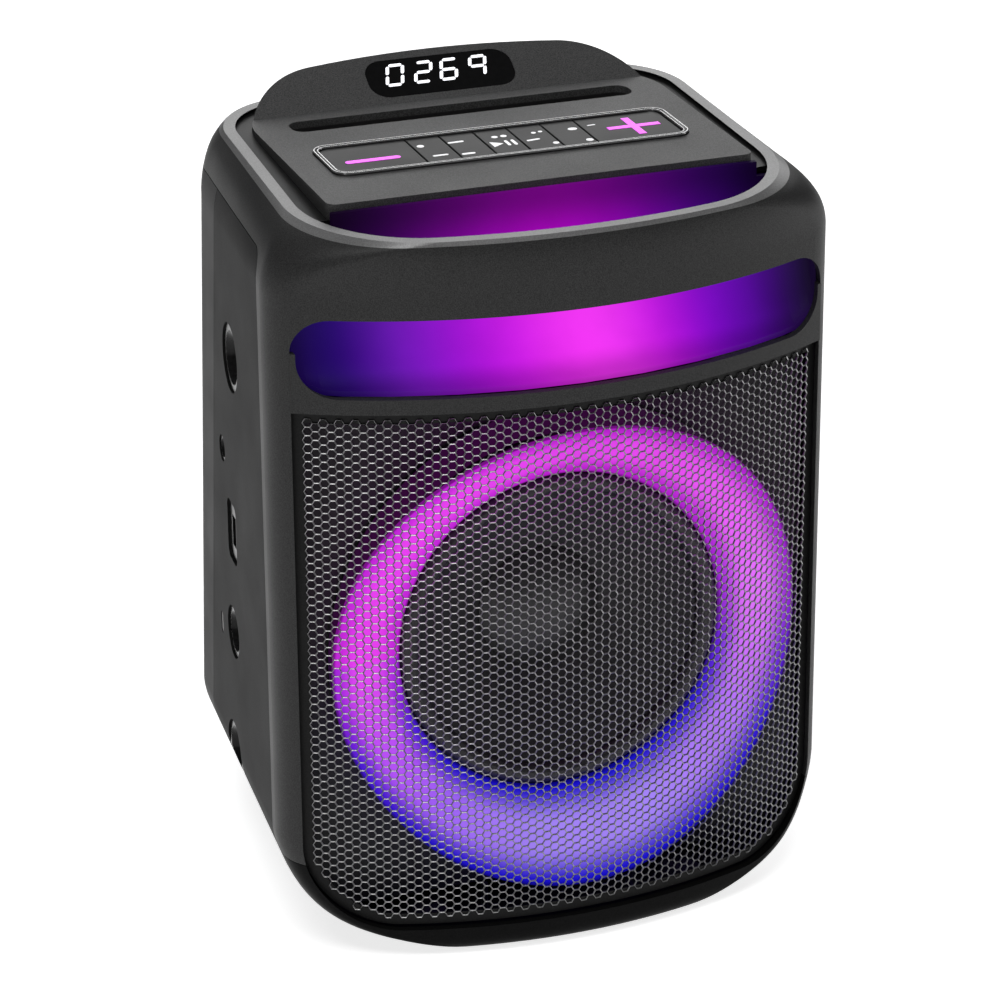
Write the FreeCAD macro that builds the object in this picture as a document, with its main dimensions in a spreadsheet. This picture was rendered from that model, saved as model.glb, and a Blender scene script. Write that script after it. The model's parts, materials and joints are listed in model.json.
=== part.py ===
# Portable party speaker: bowed grille front with a lit ring round the woofer,
# a lit scoop behind a carry handle band, a deck with keypad, tablet slot and
# display on top, sockets on the left side. Millimetres.
# +Z up, front towards -Y, origin on the floor under the middle of the box.
import FreeCAD, Part
import Sketcher
import math
import os
from FreeCAD import Vector as V, Placement, Rotation

os.makedirs("parts", exist_ok=True)
doc = FreeCAD.newDocument("party_speaker")

# ---------------------------------------------------------------- dimensions
sheet = doc.addObject("Spreadsheet::Sheet", "sheet")
DIMS = [
    # casing plan
    ("body_half", 117.5), ("front_apex", -112.4), ("front_arc", 227.6),
    ("corner_rad", 20.0), ("side_taper", 5.0), ("rear_corner", 26.0),
    ("rear_arc", 520.0), ("wall", 3.0),
    # casing heights
    ("base_bottom", 1.5), ("roll_top", 50.0), ("shoulder_z", 283.5),
    ("crown_z", 296.0), ("pillar_z", 40.5), ("panel_foot_z", 26.0),
    ("rim_z", 307.0), ("rim_slope", 0.04), ("trim_t", 1.6), ("trim_w", 4.8), ("rim_in", 15.8),
    ("seam_gap", 0.35), ("panel_rad", 10.0),
    ("seam_y", -60.6), ("strip_y", 27.2), ("strip_z", 244.0), ("strip_lean", 0.1675),
    # front opening
    ("open_half", 111.0), ("open_low", 12.5), ("open_high", 276.3),
    ("open_rad_low", 37.0), ("open_rad_high", 14.0),
    ("lip_low", 237.7), ("lip_high", 244.0), ("lip_t", 3.0),
    ("grille_half", 110.6), ("grille_low", 13.4), ("grille_t", 1.2),
    ("grille_arc", 224.6), ("grille_apex", -109.4), ("grille_rad", 36.3),
    # ring and woofer
    ("axis_z", 127.0), ("ring_in", 70.2), ("ring_out", 98.7), ("ring_in_y", -86.0),
    ("ring_back", 3.0), ("ring_t", 2.4),
    ("baffle_y", -77.0), ("baffle_t", 8.0), ("baffle_half", 106.5),
    ("baffle_low", 16.0), ("baffle_high", 239.0), ("baffle_hole", 76.0),
    ("flange_r", 84.0), ("flange_in", 68.6), ("flange_t", 3.0),
    ("cone_out", 59.6), ("cone_in", 16.6), ("cone_y", -80.2), ("cone_neck_y", -50.0),
    ("cone_t", 1.2), ("coil_r", 16.4), ("coil_t", 1.0), ("coil_back", -27.0),
    ("cap_r", 26.0), ("pole_r", 14.2), ("plate_r", 46.0), ("plate_bore", 18.0),
    ("plate_y", -32.0), ("plate_t", 7.0), ("magnet_r", 50.0), ("magnet_in", 24.0),
    ("magnet_t", 20.0), ("yoke_t", 7.0), ("spider_y", -45.0), ("spider_out", 40.0),
    # deck
    ("deck_half", 88.5), ("deck_front", -65.6), ("deck_rear", 69.7),
    ("deck_corner", 38.0), ("deck_z", 313.5), ("deck_low", 304.0), ("deck_t", 3.0),
    ("wedge_y", 45.4), ("wedge_rise", 0.6),
    ("slot_half", 73.7), ("slot_y0", 23.6), ("slot_y1", 37.4), ("slot_low", 297.0),
    ("pad_half", 75.5), ("pad_y0", -35.6), ("pad_y1", 1.8), ("pad_rad", 7.0),
    ("bezel_w", 2.6), ("bezel_low", 310.6), ("bezel_high", 314.3),
    ("key_gap", 0.4), ("key_high", 313.8), ("key_low", 310.3), ("key_split", 36.0),
    ("key_count", 5), ("key_travel", 0.8),
    ("disp_half", 32.0), ("disp_y0", 48.7), ("disp_y1", 66.2), ("disp_rad", 8.0),
    ("disp_t", 2.0),
    # scoop and handle
    ("scoop_back", -66.4), ("scoop_top", 311.0), ("scoop_low", 244.3),
    ("scoop_t", 2.2), ("scoop_half", 104.0), ("band_t", 9.0), ("band_half", 97.0),
    # feet
    ("foot_x", 62.0), ("foot_y0", -74.0), ("foot_y1", 82.0), ("foot_r", 14.0),
    ("foot_h", 10.5),
    # sockets: height and depth along the left panel
    ("mic_y", -2.8), ("mic_z", 231.4), ("mic_r", 14.3),
    ("aux_y", 20.0), ("aux_z", 183.1), ("aux_r", 5.5),
    ("usb_y", 4.6), ("usb_z", 151.9), ("usb_w", 17.0), ("usb_h", 26.0),
    ("dc_y", 8.8), ("dc_z", 104.7), ("dc_r", 11.2),
    ("gtr_y", 14.9), ("gtr_z", 46.5), ("gtr_r", 13.3),
    ("led_y", 33.0), ("led_z", 98.5),
    ("jack_bore", 3.35), ("aux_bore", 1.85), ("dc_bore", 2.85), ("dc_pin", 1.0),
    ("fit_gap", 0.2),
    # reflex port
    ("port_z", 238.0), ("port_r", 22.0), ("port_wall", 2.2), ("port_len", 70.0),
    # battery and boards
    ("batt_half", 65.0), ("batt_y0", -30.0), ("batt_y1", 40.0), ("batt_z0", 11.5),
    ("batt_h", 42.0), ("board_t", 1.6),
]
for i, (alias, value) in enumerate(DIMS, start=1):
    sheet.set("A%d" % i, alias)
    sheet.set("B%d" % i, repr(value))
    sheet.setAlias("B%d" % i, alias)
doc.recompute()


def d(alias):
    return float(sheet.get(alias))


PARTS = {}        # node name -> document object


def keep(obj, label):
    obj.Label = label
    PARTS[label] = obj
    return obj


def feature(label, shape, placement=None):
    """A shape set from Part's own functions; its sizes come from the sheet."""
    obj = doc.addObject("Part::Feature", label)
    obj.Shape = shape
    if placement is not None:
        obj.Placement = placement
    return keep(obj, label)


# ------------------------------------------------------------- small helpers
def prim(kind, name, dims, pos=(0, 0, 0), rot=None):
    """A Part primitive with its sizes and place bound to the sheet."""
    obj = doc.addObject("Part::" + kind, name)
    for prop, expr in dims.items():
        obj.setExpression(prop, expr)
    obj.Placement = Placement(V(0, 0, 0), rot or Rotation())
    for axis, expr in zip("xyz", pos):
        obj.setExpression("Placement.Base." + axis, str(expr))
    return obj


def cut(name, base, tool):
    obj = doc.addObject("Part::Cut", name)
    obj.Base, obj.Tool = base, tool
    return obj


def fuse(name, objs):
    obj = doc.addObject("Part::MultiFuse", name)
    obj.Shapes = objs
    return obj


TO_Y = Rotation(V(1, 0, 0), -90)      # cylinder axis Z laid along +Y


def plane_of(body, role):
    for feat in body.Origin.OriginFeatures:
        if feat.Role == role:
            return feat
    raise RuntimeError(role)


def sketch_poly(body, name, role, points):
    """Closed polygon whose corners are bound to expressions (x, y)."""
    sk = body.newObject("Sketcher::SketchObject", name)
    sk.AttachmentSupport = [(plane_of(body, role), "")]
    sk.MapMode = "FlatFace"
    n = len(points)
    vals = []
    for ex, ey in points:
        vals.append((value_of(ex), value_of(ey)))
    for i in range(n):
        a, b = vals[i], vals[(i + 1) % n]
        sk.addGeometry(Part.LineSegment(V(a[0], a[1], 0), V(b[0], b[1], 0)), False)
    for i in range(n):
        sk.addConstraint(Sketcher.Constraint("Coincident", i, 2, (i + 1) % n, 1))
    for i, (ex, ey) in enumerate(points):
        for kind, e, val in (("DistanceX", ex, vals[i][0]), ("DistanceY", ey, vals[i][1])):
            if abs(val) < 1e-9:
                line = -2 if kind == "DistanceX" else -1
                sk.addConstraint(Sketcher.Constraint("PointOnObject", i, 1, line))
                continue
            idx = sk.addConstraint(Sketcher.Constraint(kind, -1, 1, i, 1, val))
            sk.setExpression("Constraints[%d]" % idx, wrap(e))
    return sk


def value_of(e):
    if isinstance(e, (int, float)):
        return float(e)
    scope = {a: d(a) for a, _ in DIMS}
    names = e
    for a in sorted(scope, key=len, reverse=True):
        names = names.replace("sheet." + a, repr(scope[a]))
    total = FreeCAD.Units.Quantity(names)
    return float(total.Value)


def wrap(e):
    return repr(float(e)) if isinstance(e, (int, float)) else e


def revolve_body(label, points, placement=None):
    """Turned piece: polygon of (radius, axial) turned about the axial line Y."""
    body = doc.addObject("PartDesign::Body", label)
    sk = sketch_poly(body, label + "_profile", "XY_Plane", points)
    rev = body.newObject("PartDesign::Revolution", label + "_turn")
    rev.Profile = sk
    rev.ReferenceAxis = (sk, ["V_Axis"])
    rev.Angle = 360.0
    body.Tip = rev
    if placement is not None:
        body.Placement = placement
    return keep(body, label)


# ------------------------------------------------------- casing plan outline
def outline(half, yf, yr, inset=0.0, z=0.0, rc=None, rrc=None, rf=None, tau=None):
    """Closed plan wire: bowed front, corner arcs, tapered sides, bowed rear."""
    rf = (rf or d("front_arc")) - inset
    rc = (rc or d("corner_rad")) - inset
    rrc = (rrc or d("rear_corner")) - inset
    rr = d("rear_arc") - inset
    tau = math.radians(d("side_taper") if tau is None else tau)
    half, yf, yr = half - inset, yf + inset, yr - inset
    cyf = yf + rf
    cx = half - rc
    cy = cyf - math.sqrt((rf - rc) ** 2 - cx ** 2)
    aj = math.atan2(cx, cyf - cy)

    def on(c, r, a):
        return (c[0] + r * math.sin(a), c[1] - r * math.cos(a))
    p0 = (rf * math.sin(aj), cyf - rf * math.cos(aj))
    ae = math.pi / 2 + tau
    m0 = on((cx, cy), rc, (aj + ae) / 2)
    p1 = on((cx, cy), rc, ae)
    cyr = yr - rr
    lo, hi = 1.0, 400.0
    for _ in range(60):
        t = (lo + hi) / 2
        c2 = (p1[0] - math.sin(tau) * t - math.cos(tau) * rrc,
              p1[1] + math.cos(tau) * t - math.sin(tau) * rrc)
        if math.hypot(c2[0], c2[1] - cyr) < rr - rrc:
            lo = t
        else:
            hi = t
    p2 = (p1[0] - math.sin(tau) * t, p1[1] + math.cos(tau) * t)
    ar = math.atan2(c2[0], -(c2[1] - cyr))
    p3 = (rr * math.sin(ar), cyr - rr * math.cos(ar))
    m2 = on(c2, rrc, (ae + ar) / 2)

    def P(p, s=1):
        return V(s * p[0], p[1], z)

    def arc(a, m, b):
        return Part.Arc(a, m, b).toShape()
    edges = [arc(P(p0, -1), V(0, yf, z), P(p0)), arc(P(p0), P(m0), P(p1)),
             Part.LineSegment(P(p1), P(p2)).toShape(), arc(P(p2), P(m2), P(p3)),
             arc(P(p3), V(0, yr, z), P(p3, -1)), arc(P(p3, -1), P(m2, -1), P(p2, -1)),
             Part.LineSegment(P(p2, -1), P(p1, -1)).toShape(),
             arc(P(p1, -1), P(m0, -1), P(p0, -1))]
    return Part.Wire(edges)


B = d("body_half")
YF = d("front_apex")
# height, half width, front apex, rear apex, front corner radius
ROLL = [(1.5, 52, YF + 4.6, 106, 8), (3, 61, YF + 2.4, 109, 8), (5, 69.5, YF + 1.1, 110.6, 9),
        (9, 84, YF + 0.4, 111.8, 11), (15, 98, YF + 0.1, 112.3, 14), (24, 107.8, YF, 112.0, 17),
        (34, 113.4, YF, 111.0, 19), (42, 116.2, YF, 110.0, 20), (50, B, YF, 108.8, 20)]
# the shoulder closes in from the upright sides to the sloping rim
TURN = math.radians(62.0)


def shoulder_row(step, inset):
    """Plan wire of the shoulder, 0 at its foot and 1 at the rim, in its own sloping plane."""
    a = TURN * min(step, 1.0)
    w = (1 - math.cos(a)) / (1 - math.cos(TURN))
    g = math.sin(a) / math.sin(TURN)
    over = max(step - 1.0, 0.0)
    half = B - d("rim_in") * w - 1.88 * over * 25
    yf = YF + 3.6 * w * w + 0.5 * over * 25
    wire = outline(half, yf, 74.5 - 0.9 * w, inset, 0.0, 20 + 35 * w, 26 + 10 * w,
                   d("front_arc") + 72 * w, 5.0 - 3.5 * w)
    k = d("rim_slope") * g
    z = d("shoulder_z") + (d("rim_z") - d("shoulder_z")) * g + over * 25
    m = FreeCAD.Matrix()
    m.A32, m.A34 = k, z + 108 * k
    return Part.Wire(wire.transformGeometry(m).Edges)


def loft(rows, inset=0.0, ruled=False):
    return Part.makeLoft([outline(r[1], r[2], r[3], inset, r[0], r[4]) for r in rows], True, ruled, False)


def casing(inset):
    low = [(r[0] + (inset if i < 5 else 0.0),) + r[1:] for i, r in enumerate(ROLL)]
    solid = loft(low, inset).fuse(loft([ROLL[-1], (d("shoulder_z"), B, YF, 74.5, 20)], inset, True))
    top = Part.makeLoft([shoulder_row(q, inset) for q in (0, 0.25, 0.5, 0.72, 0.88, 1.0, 1.1)],
                        True, False, False)
    return solid.fuse(top).removeSplitter()


def block(x0, x1, y0, y1, z0, z1):
    return Part.makeBox(x1 - x0, y1 - y0, z1 - z0, V(x0, y0, z0))


def round_rect(w0, w1, h0, h1, r_low, r_high, depth0, depth1):
    """Rounded rectangle in the XZ plane, extruded along Y."""
    def corner(cx, cz, r, a0):
        a = [math.radians(a0 + k) for k in (0, 45, 90)]
        return [V(cx + r * math.cos(t), depth0, cz + r * math.sin(t)) for t in a]
    cs = [corner(w1 - r_low, h0 + r_low, r_low, -90), corner(w1 - r_high, h1 - r_high, r_high, 0),
          corner(w0 + r_high, h1 - r_high, r_high, 90), corner(w0 + r_low, h0 + r_low, r_low, 180)]
    edges = []
    for i, c in enumerate(cs):
        edges.append(Part.Arc(*c).toShape())
        nxt = cs[(i + 1) % 4][0]
        if (nxt - c[2]).Length > 1e-6:
            edges.append(Part.LineSegment(c[2], nxt).toShape())
    return Part.Face(Part.Wire(edges)).extrude(V(0, depth1 - depth0, 0))


def plan_face(x0, x1, y0, y1, r, z0, z1):
    a = [(x1 - r, y0 + r, -90), (x1 - r, y1 - r, 0), (x0 + r, y1 - r, 90), (x0 + r, y0 + r, 180)]
    edges, first, last = [], None, None
    for cx, cy, a0 in a:
        p = [V(cx + r * math.cos(math.radians(a0 + k)), cy + r * math.sin(math.radians(a0 + k)), z0)
             for k in (0, 45, 90)]
        if last is not None and (p[0] - last).Length > 1e-6:
            edges.append(Part.LineSegment(last, p[0]).toShape())
        if first is None:
            first = p[0]
        edges.append(Part.Arc(*p).toShape())
        last = p[2]
    if (first - last).Length > 1e-6:
        edges.append(Part.LineSegment(last, first).toShape())
    return Part.Face(Part.Wire(edges)).extrude(V(0, 0, z1 - z0))


def bow_slab(arc, apex, t, half, z0, z1):
    """Slab that follows the bowed front: outer radius arc, apex at y = apex."""
    cy = apex + arc
    outer = Part.makeCylinder(arc, z1 - z0, V(0, cy, z0))
    inner = Part.makeCylinder(arc - t, z1 - z0, V(0, cy, z0))
    return outer.cut(inner).common(block(-half, half, apex - 1, apex + 60, z0, z1))


outer = casing(0.0)
cavity = casing(d("wall"))


def above_rim(drop):
    """Half space above the sloping rim plane, as a wedge block."""
    z = d("rim_z") - drop
    k = d("rim_slope")
    y0, y1 = -140.0, 140.0
    pts = [V(-150, y0, z + k * (y0 + 108)), V(-150, y1, z + k * (y1 + 108)),
           V(-150, y1, 400), V(-150, y0, 400)]
    return Part.Face(Part.makePolygon(pts + [pts[0]])).extrude(V(300, 0, 0))


shell = outer.cut(cavity).cut(above_rim(0.0))
trim_zone = above_rim(d("trim_t"))
opening = round_rect(-d("open_half"), d("open_half"), d("open_low"), d("open_high"),
                     d("open_rad_low"), d("open_rad_high"), -140, -70)

# side seam regions
k = d("strip_lean")
z0s, z1s = 0.0, d("crown_z")


def strip(zz):
    return d("strip_y") + k * (d("strip_z") - zz)


def prism_x(pts, x0=-150, x1=150):
    vs = [V(x0, y, z) for y, z in pts]
    return Part.Face(Part.makePolygon(vs + [vs[0]])).extrude(V(x1 - x0, 0, 0))


fz = d("panel_foot_z")


def panel_region(gap):
    """Side panel in the YZ plane, its upper front corner rounded."""
    r = d("panel_rad") - gap
    yf, zt, zb = d("seam_y") + gap, z1s - gap, fz + gap
    pts = [(yf, zb), (strip(zb) - gap, zb), (strip(zt) - gap, zt)]
    for i in range(9):
        a = math.radians(90 + 90 * i / 8.0)
        pts.append((yf + r + r * math.cos(a), zt - r + r * math.sin(a)))
    return prism_x(pts)


base_zone = prism_x([(-140, -5), (140, -5), (140, fz), (d("seam_y"), fz),
                     (d("seam_y"), d("pillar_z")), (-140, d("pillar_z"))])
gs = d("seam_gap")
rear_zone = prism_x([(strip(fz), fz + gs), (140, fz + gs), (140, z1s - gs), (strip(z1s), z1s - gs)])
front_low = prism_x([(-140, -5), (140, -5), (140, fz + gs), (d("seam_y") + 1, fz + gs),
                     (d("seam_y") + 1, d("pillar_z") + gs), (-140, d("pillar_z") + gs)])
rear_big = prism_x([(strip(fz) - 1, fz), (140, fz), (140, z1s), (strip(z1s) - 1, z1s)])

liner = casing(d("trim_w"))
feature("rim_trim", outer.cut(liner).cut(above_rim(0.0)).common(trim_zone))
body = shell.cut(trim_zone)
front_shell = body.cut(front_low).cut(panel_region(0.0)).cut(rear_big).cut(opening)
front_shell = max(front_shell.Solids, key=lambda q: q.Volume)
feature("front_shell", front_shell)
feature("base_tray", body.common(base_zone).cut(opening))
panels = body.common(panel_region(gs))


# ------------------------------------------------------------ left sockets
TAU = math.radians(d("side_taper"))


def side_x(y):
    """Outer face of the left side at depth y (heights below the shoulder)."""
    rc, rf = d("corner_rad"), d("front_arc")
    cyf = YF + rf
    cx = B - rc
    cy = cyf - math.sqrt((rf - rc) ** 2 - cx ** 2)
    px, py = cx + rc * math.cos(TAU), cy + rc * math.sin(TAU)
    return -(px - math.tan(TAU) * (y - py))


OUT = V(-math.cos(TAU), math.sin(TAU), 0)          # outward normal of the left side


def side_place(y, z):
    """Local +Y points out of the left side, local +Z stays up."""
    return Placement(V(side_x(y), y, z), Rotation(V(0, 0, 1), 90 - math.degrees(TAU)))


def socket_hole(y, z, r):
    c = V(side_x(y), y, z)
    return Part.makeCylinder(r, 20, c - OUT * 10, OUT)


holes = [socket_hole(d(n + "_y"), d(n + "_z"), d(n + "_r") + d("fit_gap"))
         for n in ("mic", "aux", "dc", "gtr")]
usb_cut = plan_face(-d("usb_w") / 2 - 0.2, d("usb_w") / 2 + 0.2, -d("usb_h") / 2 - 0.2,
                    d("usb_h") / 2 + 0.2, 4.2, -10, 10)
usb_cut.rotate(V(0, 0, 0), V(1, 0, 0), 90)
usb_cut.Placement = side_place(d("usb_y"), d("usb_z")).multiply(usb_cut.Placement)
led_cut = plan_face(-1.9, 1.9, -4.9, 4.9, 1.85, -10, 10)
led_cut.rotate(V(0, 0, 0), V(1, 0, 0), 90)
led_cut.Placement = side_place(d("led_y"), d("led_z")).multiply(led_cut.Placement)

left = panels.common(block(-150, 0, -140, 140, 0, 400))
for h in holes + [usb_cut, led_cut]:
    left = left.cut(h)
feature("side_panel_left", left)
feature("side_panel_right", panels.common(block(0, 150, -140, 140, 0, 400)))

# round sockets, turned about their own axis
revolve_body("mic_jack", [
    ("sheet.jack_bore", -5.0), (7.6, -5.0), (11.2, -0.8), ("sheet.mic_r", -0.8), ("sheet.mic_r", -6.0),
    (9.5, -6.0), (9.5, -38.0), ("sheet.jack_bore", -38.0)], side_place(d("mic_y"), d("mic_z")))
revolve_body("guitar_jack", [
    ("sheet.jack_bore", -5.0), (7.6, -5.0), (10.6, -0.8), ("sheet.gtr_r", -0.8), ("sheet.gtr_r", -6.0),
    (9.5, -6.0), (9.5, -38.0), ("sheet.jack_bore", -38.0)], side_place(d("gtr_y"), d("gtr_z")))
revolve_body("aux_jack", [
    ("sheet.aux_bore", -1.6), (3.4, -1.6), (4.0, -0.5), ("sheet.aux_r", -0.5), ("sheet.aux_r", -5.0),
    (4.2, -5.0), (4.2, -17.0), ("sheet.aux_bore", -17.0)], side_place(d("aux_y"), d("aux_z")))
revolve_body("dc_socket", [
    (0, -13.5), (0, -4.5), ("sheet.dc_pin", -4.5), ("sheet.dc_pin", -12.0), ("sheet.dc_bore", -12.0),
    ("sheet.dc_bore", -4.0), (6.4, -4.0), (8.6, -0.8), ("sheet.dc_r", -0.8), ("sheet.dc_r", -5.0),
    (7.0, -5.0), (7.0, -13.5)], side_place(d("dc_y"), d("dc_z")))

usb = plan_face(-d("usb_w") / 2, d("usb_w") / 2, -d("usb_h") / 2, d("usb_h") / 2, 4.0, 1.0, 4.0)
usb = usb.fuse(block(-5.2, 5.2, -9.0, 9.0, 4.0, 18.0))
usb = usb.cut(block(-3.2, 3.2, -6.8, 6.8, 0.0, 16.0))
usb.rotate(V(0, 0, 0), V(1, 0, 0), 90)             # depth now runs to -Y (inwards)
feature("usb_socket", usb, side_place(d("usb_y"), d("usb_z")).multiply(usb.Placement))
lens = plan_face(-1.7, 1.7, -4.7, 4.7, 1.65, 0.3, 5.0)
lens.rotate(V(0, 0, 0), V(1, 0, 0), 90)
feature("charge_light", lens, side_place(d("led_y"), d("led_z")).multiply(lens.Placement))
jb = Part.makeBox(60, d("board_t"), 210, V(-34, -38.2 - d("board_t"), -115))
feature("jack_board", jb, side_place(5.0, 150.0))

# ------------------------------------------------------------- rear shell
rear = shell.common(rear_zone)
lean = math.degrees(math.atan((108.8 - 74.5) / (283.5 - 50.0)))
rear_mid = 74.5 + (283.5 - d("port_z")) * (108.8 - 74.5) / (283.5 - 50.0)
port_place = Placement(V(0, rear_mid, d("port_z")), Rotation(V(1, 0, 0), lean))
port_hole = Part.makeCylinder(d("port_r") + d("port_wall") + 0.2, 30, V(0, -15, 0), V(0, 1, 0))
port_hole.Placement = port_place
rear = rear.cut(port_hole)
SCREWS_REAR = [(-84, 270), (84, 270), (-86, 160), (86, 160), (-86, 48), (86, 48)]


def rear_y(x, z):
    mid = 74.5 + (283.5 - z) * (108.8 - 74.5) / (283.5 - 50.0)
    return mid - (d("rear_arc") - math.sqrt(d("rear_arc") ** 2 - x ** 2))


def screw(length, head_r=3.2, head_h=1.9, shank_r=1.45):
    s = Part.makeCylinder(head_r, head_h, V(0, 0, -head_h), V(0, 0, 1))
    s = s.cut(block(-1.9, 1.9, -0.45, 0.45, -1.2, 1)).cut(block(-0.45, 0.45, -1.9, 1.9, -1.2, 1))
    return s.fuse(Part.makeCylinder(shank_r, length, V(0, 0, -head_h - length), V(0, 0, 1)))


rs = []
for x, z in SCREWS_REAR:
    n = V(0, math.cos(math.radians(lean)), math.sin(math.radians(lean)))
    p = V(x, rear_y(x, z), z) - n * 1.2
    s = screw(9.0)
    s.Placement = Placement(p, Rotation(V(0, 0, 1), n))
    rs.append(s)
    well = Part.makeCylinder(3.5, 12, p - n * 2.0, n)
    hole = Part.makeCylinder(1.7, 30, p - n * 15, n)
    rear = rear.cut(well).cut(hole)
feature("rear_shell", rear)
feature("rear_screws", Part.makeCompound(rs))

port = Part.makeCylinder(d("port_r") + d("port_wall"), d("port_len"), V(0, -d("port_len"), 0), V(0, 1, 0))
port = port.fuse(Part.makeCone(d("port_r") + 2.2, d("port_r") + 7.5, 2.0, V(0, 0.1, 0), V(0, 1, 0)))
bore = Part.makeCylinder(d("port_r"), d("port_len") + 2, V(0, -d("port_len") - 1, 0), V(0, 1, 0))
flare = Part.makeCone(d("port_r"), d("port_r") + 5.5, 7.0, V(0, -4.8, 0), V(0, 1, 0))
feature("reflex_port", port.cut(bore).cut(flare), port_place)

# ---------------------------------------------------------- grille and lips
grille = bow_slab(d("grille_arc"), d("grille_apex"), d("grille_t"), d("grille_half"),
                  d("grille_low"), d("lip_low"))
gmask = round_rect(-d("grille_half"), d("grille_half"), d("grille_low"), 300, d("grille_rad"), 5, -140, -40)
feature("grille", grille.common(gmask))
lip = bow_slab(d("front_arc"), YF, d("lip_t"), d("open_half"), d("lip_low"), d("lip_high") + 18)
window = round_rect(-109.2, 109.2, d("lip_high"), d("open_high") + 40, 15.0, 14.0, -140, -40)
lmask = round_rect(-d("open_half"), d("open_half"), 100, d("open_high"), 5.0, 14.0, -140, -40)
lip_piece = lip.cut(window).common(lmask).cut(front_shell)
feature("lip_strip", lip_piece)

# -------------------------------------------------------------- light ring
def bow_y(x, arc=None, apex=None):
    arc = arc or d("grille_arc")
    apex = apex if apex is not None else d("grille_apex")
    return apex + arc - math.sqrt(arc ** 2 - x ** 2)


def ring_curves(shift):
    n = 72
    ax = d("axis_z")
    inner, outerp = [], []
    for i in range(n):
        a = 2 * math.pi * i / n
        inner.append(V(d("ring_in") * math.cos(a), d("ring_in_y") + shift, ax + d("ring_in") * math.sin(a)))
        x = d("ring_out") * math.cos(a)
        outerp.append(V(x, bow_y(x) + d("ring_back") + shift, ax + d("ring_out") * math.sin(a)))
    out = []
    for pts in (inner, outerp):
        c = Part.BSplineCurve()
        c.interpolate(pts, PeriodicFlag=True)
        out.append(Part.Wire(c.toShape()))
    return out


fi, fo = ring_curves(0.0)
bi, bo = ring_curves(d("ring_t"))
faces = []
for a, b in ((fi, fo), (fo, bo), (bo, bi), (bi, fi)):
    faces += Part.makeRuledSurface(a, b).Faces
ring = Part.Solid(Part.makeShell(faces))
ring.fix(0.001, 0.001, 0.001)
if ring.isInside(V(0, -500, 0), 0.001, False):
    ring.reverse()
feature("light_ring", ring)

# LED board behind the ring, with its LEDs in one group
prim_led_o = prim("Cylinder", "ring_board_disc", {"Radius": "sheet.ring_out - 1.5", "Height": "sheet.board_t"},
                  (0, "sheet.baffle_y - 0.1 - sheet.board_t", "sheet.axis_z"), TO_Y)
prim_led_i = prim("Cylinder", "ring_board_hole", {"Radius": "sheet.flange_r + 0.6", "Height": "sheet.board_t * 3"},
                  (0, "sheet.baffle_y - 3 - sheet.board_t", "sheet.axis_z"), TO_Y)
keep(cut("ring_led_board", prim_led_o, prim_led_i), "ring_led_board")

# --------------------------------------------------------------- baffle
baf = round_rect(-d("baffle_half"), d("baffle_half"), d("baffle_low"), d("baffle_high"), 26, 8,
                 d("baffle_y"), d("baffle_y") + d("baffle_t"))
baf = baf.cut(Part.makeCylinder(d("baffle_hole"), 60, V(0, -110, d("axis_z")), V(0, 1, 0)))
baf = baf.common(cavity)
feature("baffle", baf)

# --------------------------------------------------------------- woofer
WP = Placement(V(0, 0, d("axis_z")), Rotation())
revolve_body("woofer_basket", [
    ("sheet.flange_in", "sheet.baffle_y - sheet.flange_t"), ("sheet.flange_r", "sheet.baffle_y - sheet.flange_t"),
    ("sheet.flange_r", "sheet.baffle_y"), (75.0, "sheet.baffle_y"), (66.0, -56.0), (48.0, "sheet.plate_y - 0.0"),
    (20.5, "sheet.plate_y - 0.0"), (20.5, "sheet.plate_y - 2.0"), (45.5, "sheet.plate_y - 2.0"),
    (63.6, -57.5), (72.2, "sheet.baffle_y + 1.0"), ("sheet.flange_in", "sheet.baffle_y + 1.0")], WP)
basket = PARTS.pop("woofer_basket")
basket.Label = "basket_turning"
wins = []
for i in range(3):
    w = prim("Box", "basket_window_%d" % i, {"Length": "150", "Width": "16", "Height": "30"}, (0, 0, 0))
    w.Placement = Placement(V(0, -56.5, d("axis_z")),
                            Rotation(V(0, 1, 0), 60.0 * i + 15)).multiply(Placement(V(-75, 0, -15), Rotation()))
    wins.append(w)
for i in range(8):
    a = math.radians(22.5 + 45 * i)
    wins.append(prim("Cylinder", "flange_hole_%d" % i, {"Radius": "1.8", "Height": "20"},
                     (79.4 * math.cos(a), "sheet.baffle_y - 10", "sheet.axis_z + %f" % (79.4 * math.sin(a))), TO_Y))
wf = fuse("basket_windows", wins)
keep(cut("woofer_basket", basket, wf), "woofer_basket")

revolve_body("woofer_gasket", [
    (70.6, "sheet.baffle_y - sheet.flange_t - 1.6"), (75.4, "sheet.baffle_y - sheet.flange_t - 1.6"),
    (75.4, "sheet.baffle_y - sheet.flange_t"), (70.6, "sheet.baffle_y - sheet.flange_t")], WP)
# half-roll surround, thin rubber
y0 = d("baffle_y") - d("flange_t")
segs = 10
rr_o = (d("flange_in") - d("cone_out")) / 2
cxr = d("cone_out") + rr_o
outer_pts, inner_pts = [], []
for i in range(segs + 1):
    a = math.pi * i / segs
    outer_pts.append((cxr - (rr_o - 0.1) * math.cos(a), y0 - (rr_o - 0.1) * math.sin(a)))
    inner_pts.append((cxr - (rr_o - 0.9) * math.cos(a), y0 - (rr_o - 0.9) * math.sin(a)))
revolve_body("surround", outer_pts + inner_pts[::-1], WP)

revolve_body("woofer_cone", [
    ("sheet.cone_out", "sheet.cone_y"), ("sheet.cone_out", "sheet.cone_y + sheet.cone_t"),
    ("sheet.cone_in + 0.8", "sheet.cone_neck_y + sheet.cone_t"), ("sheet.cone_in", "sheet.cone_neck_y + sheet.cone_t"),
    ("sheet.cone_in", "sheet.cone_neck_y")], WP)
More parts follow.
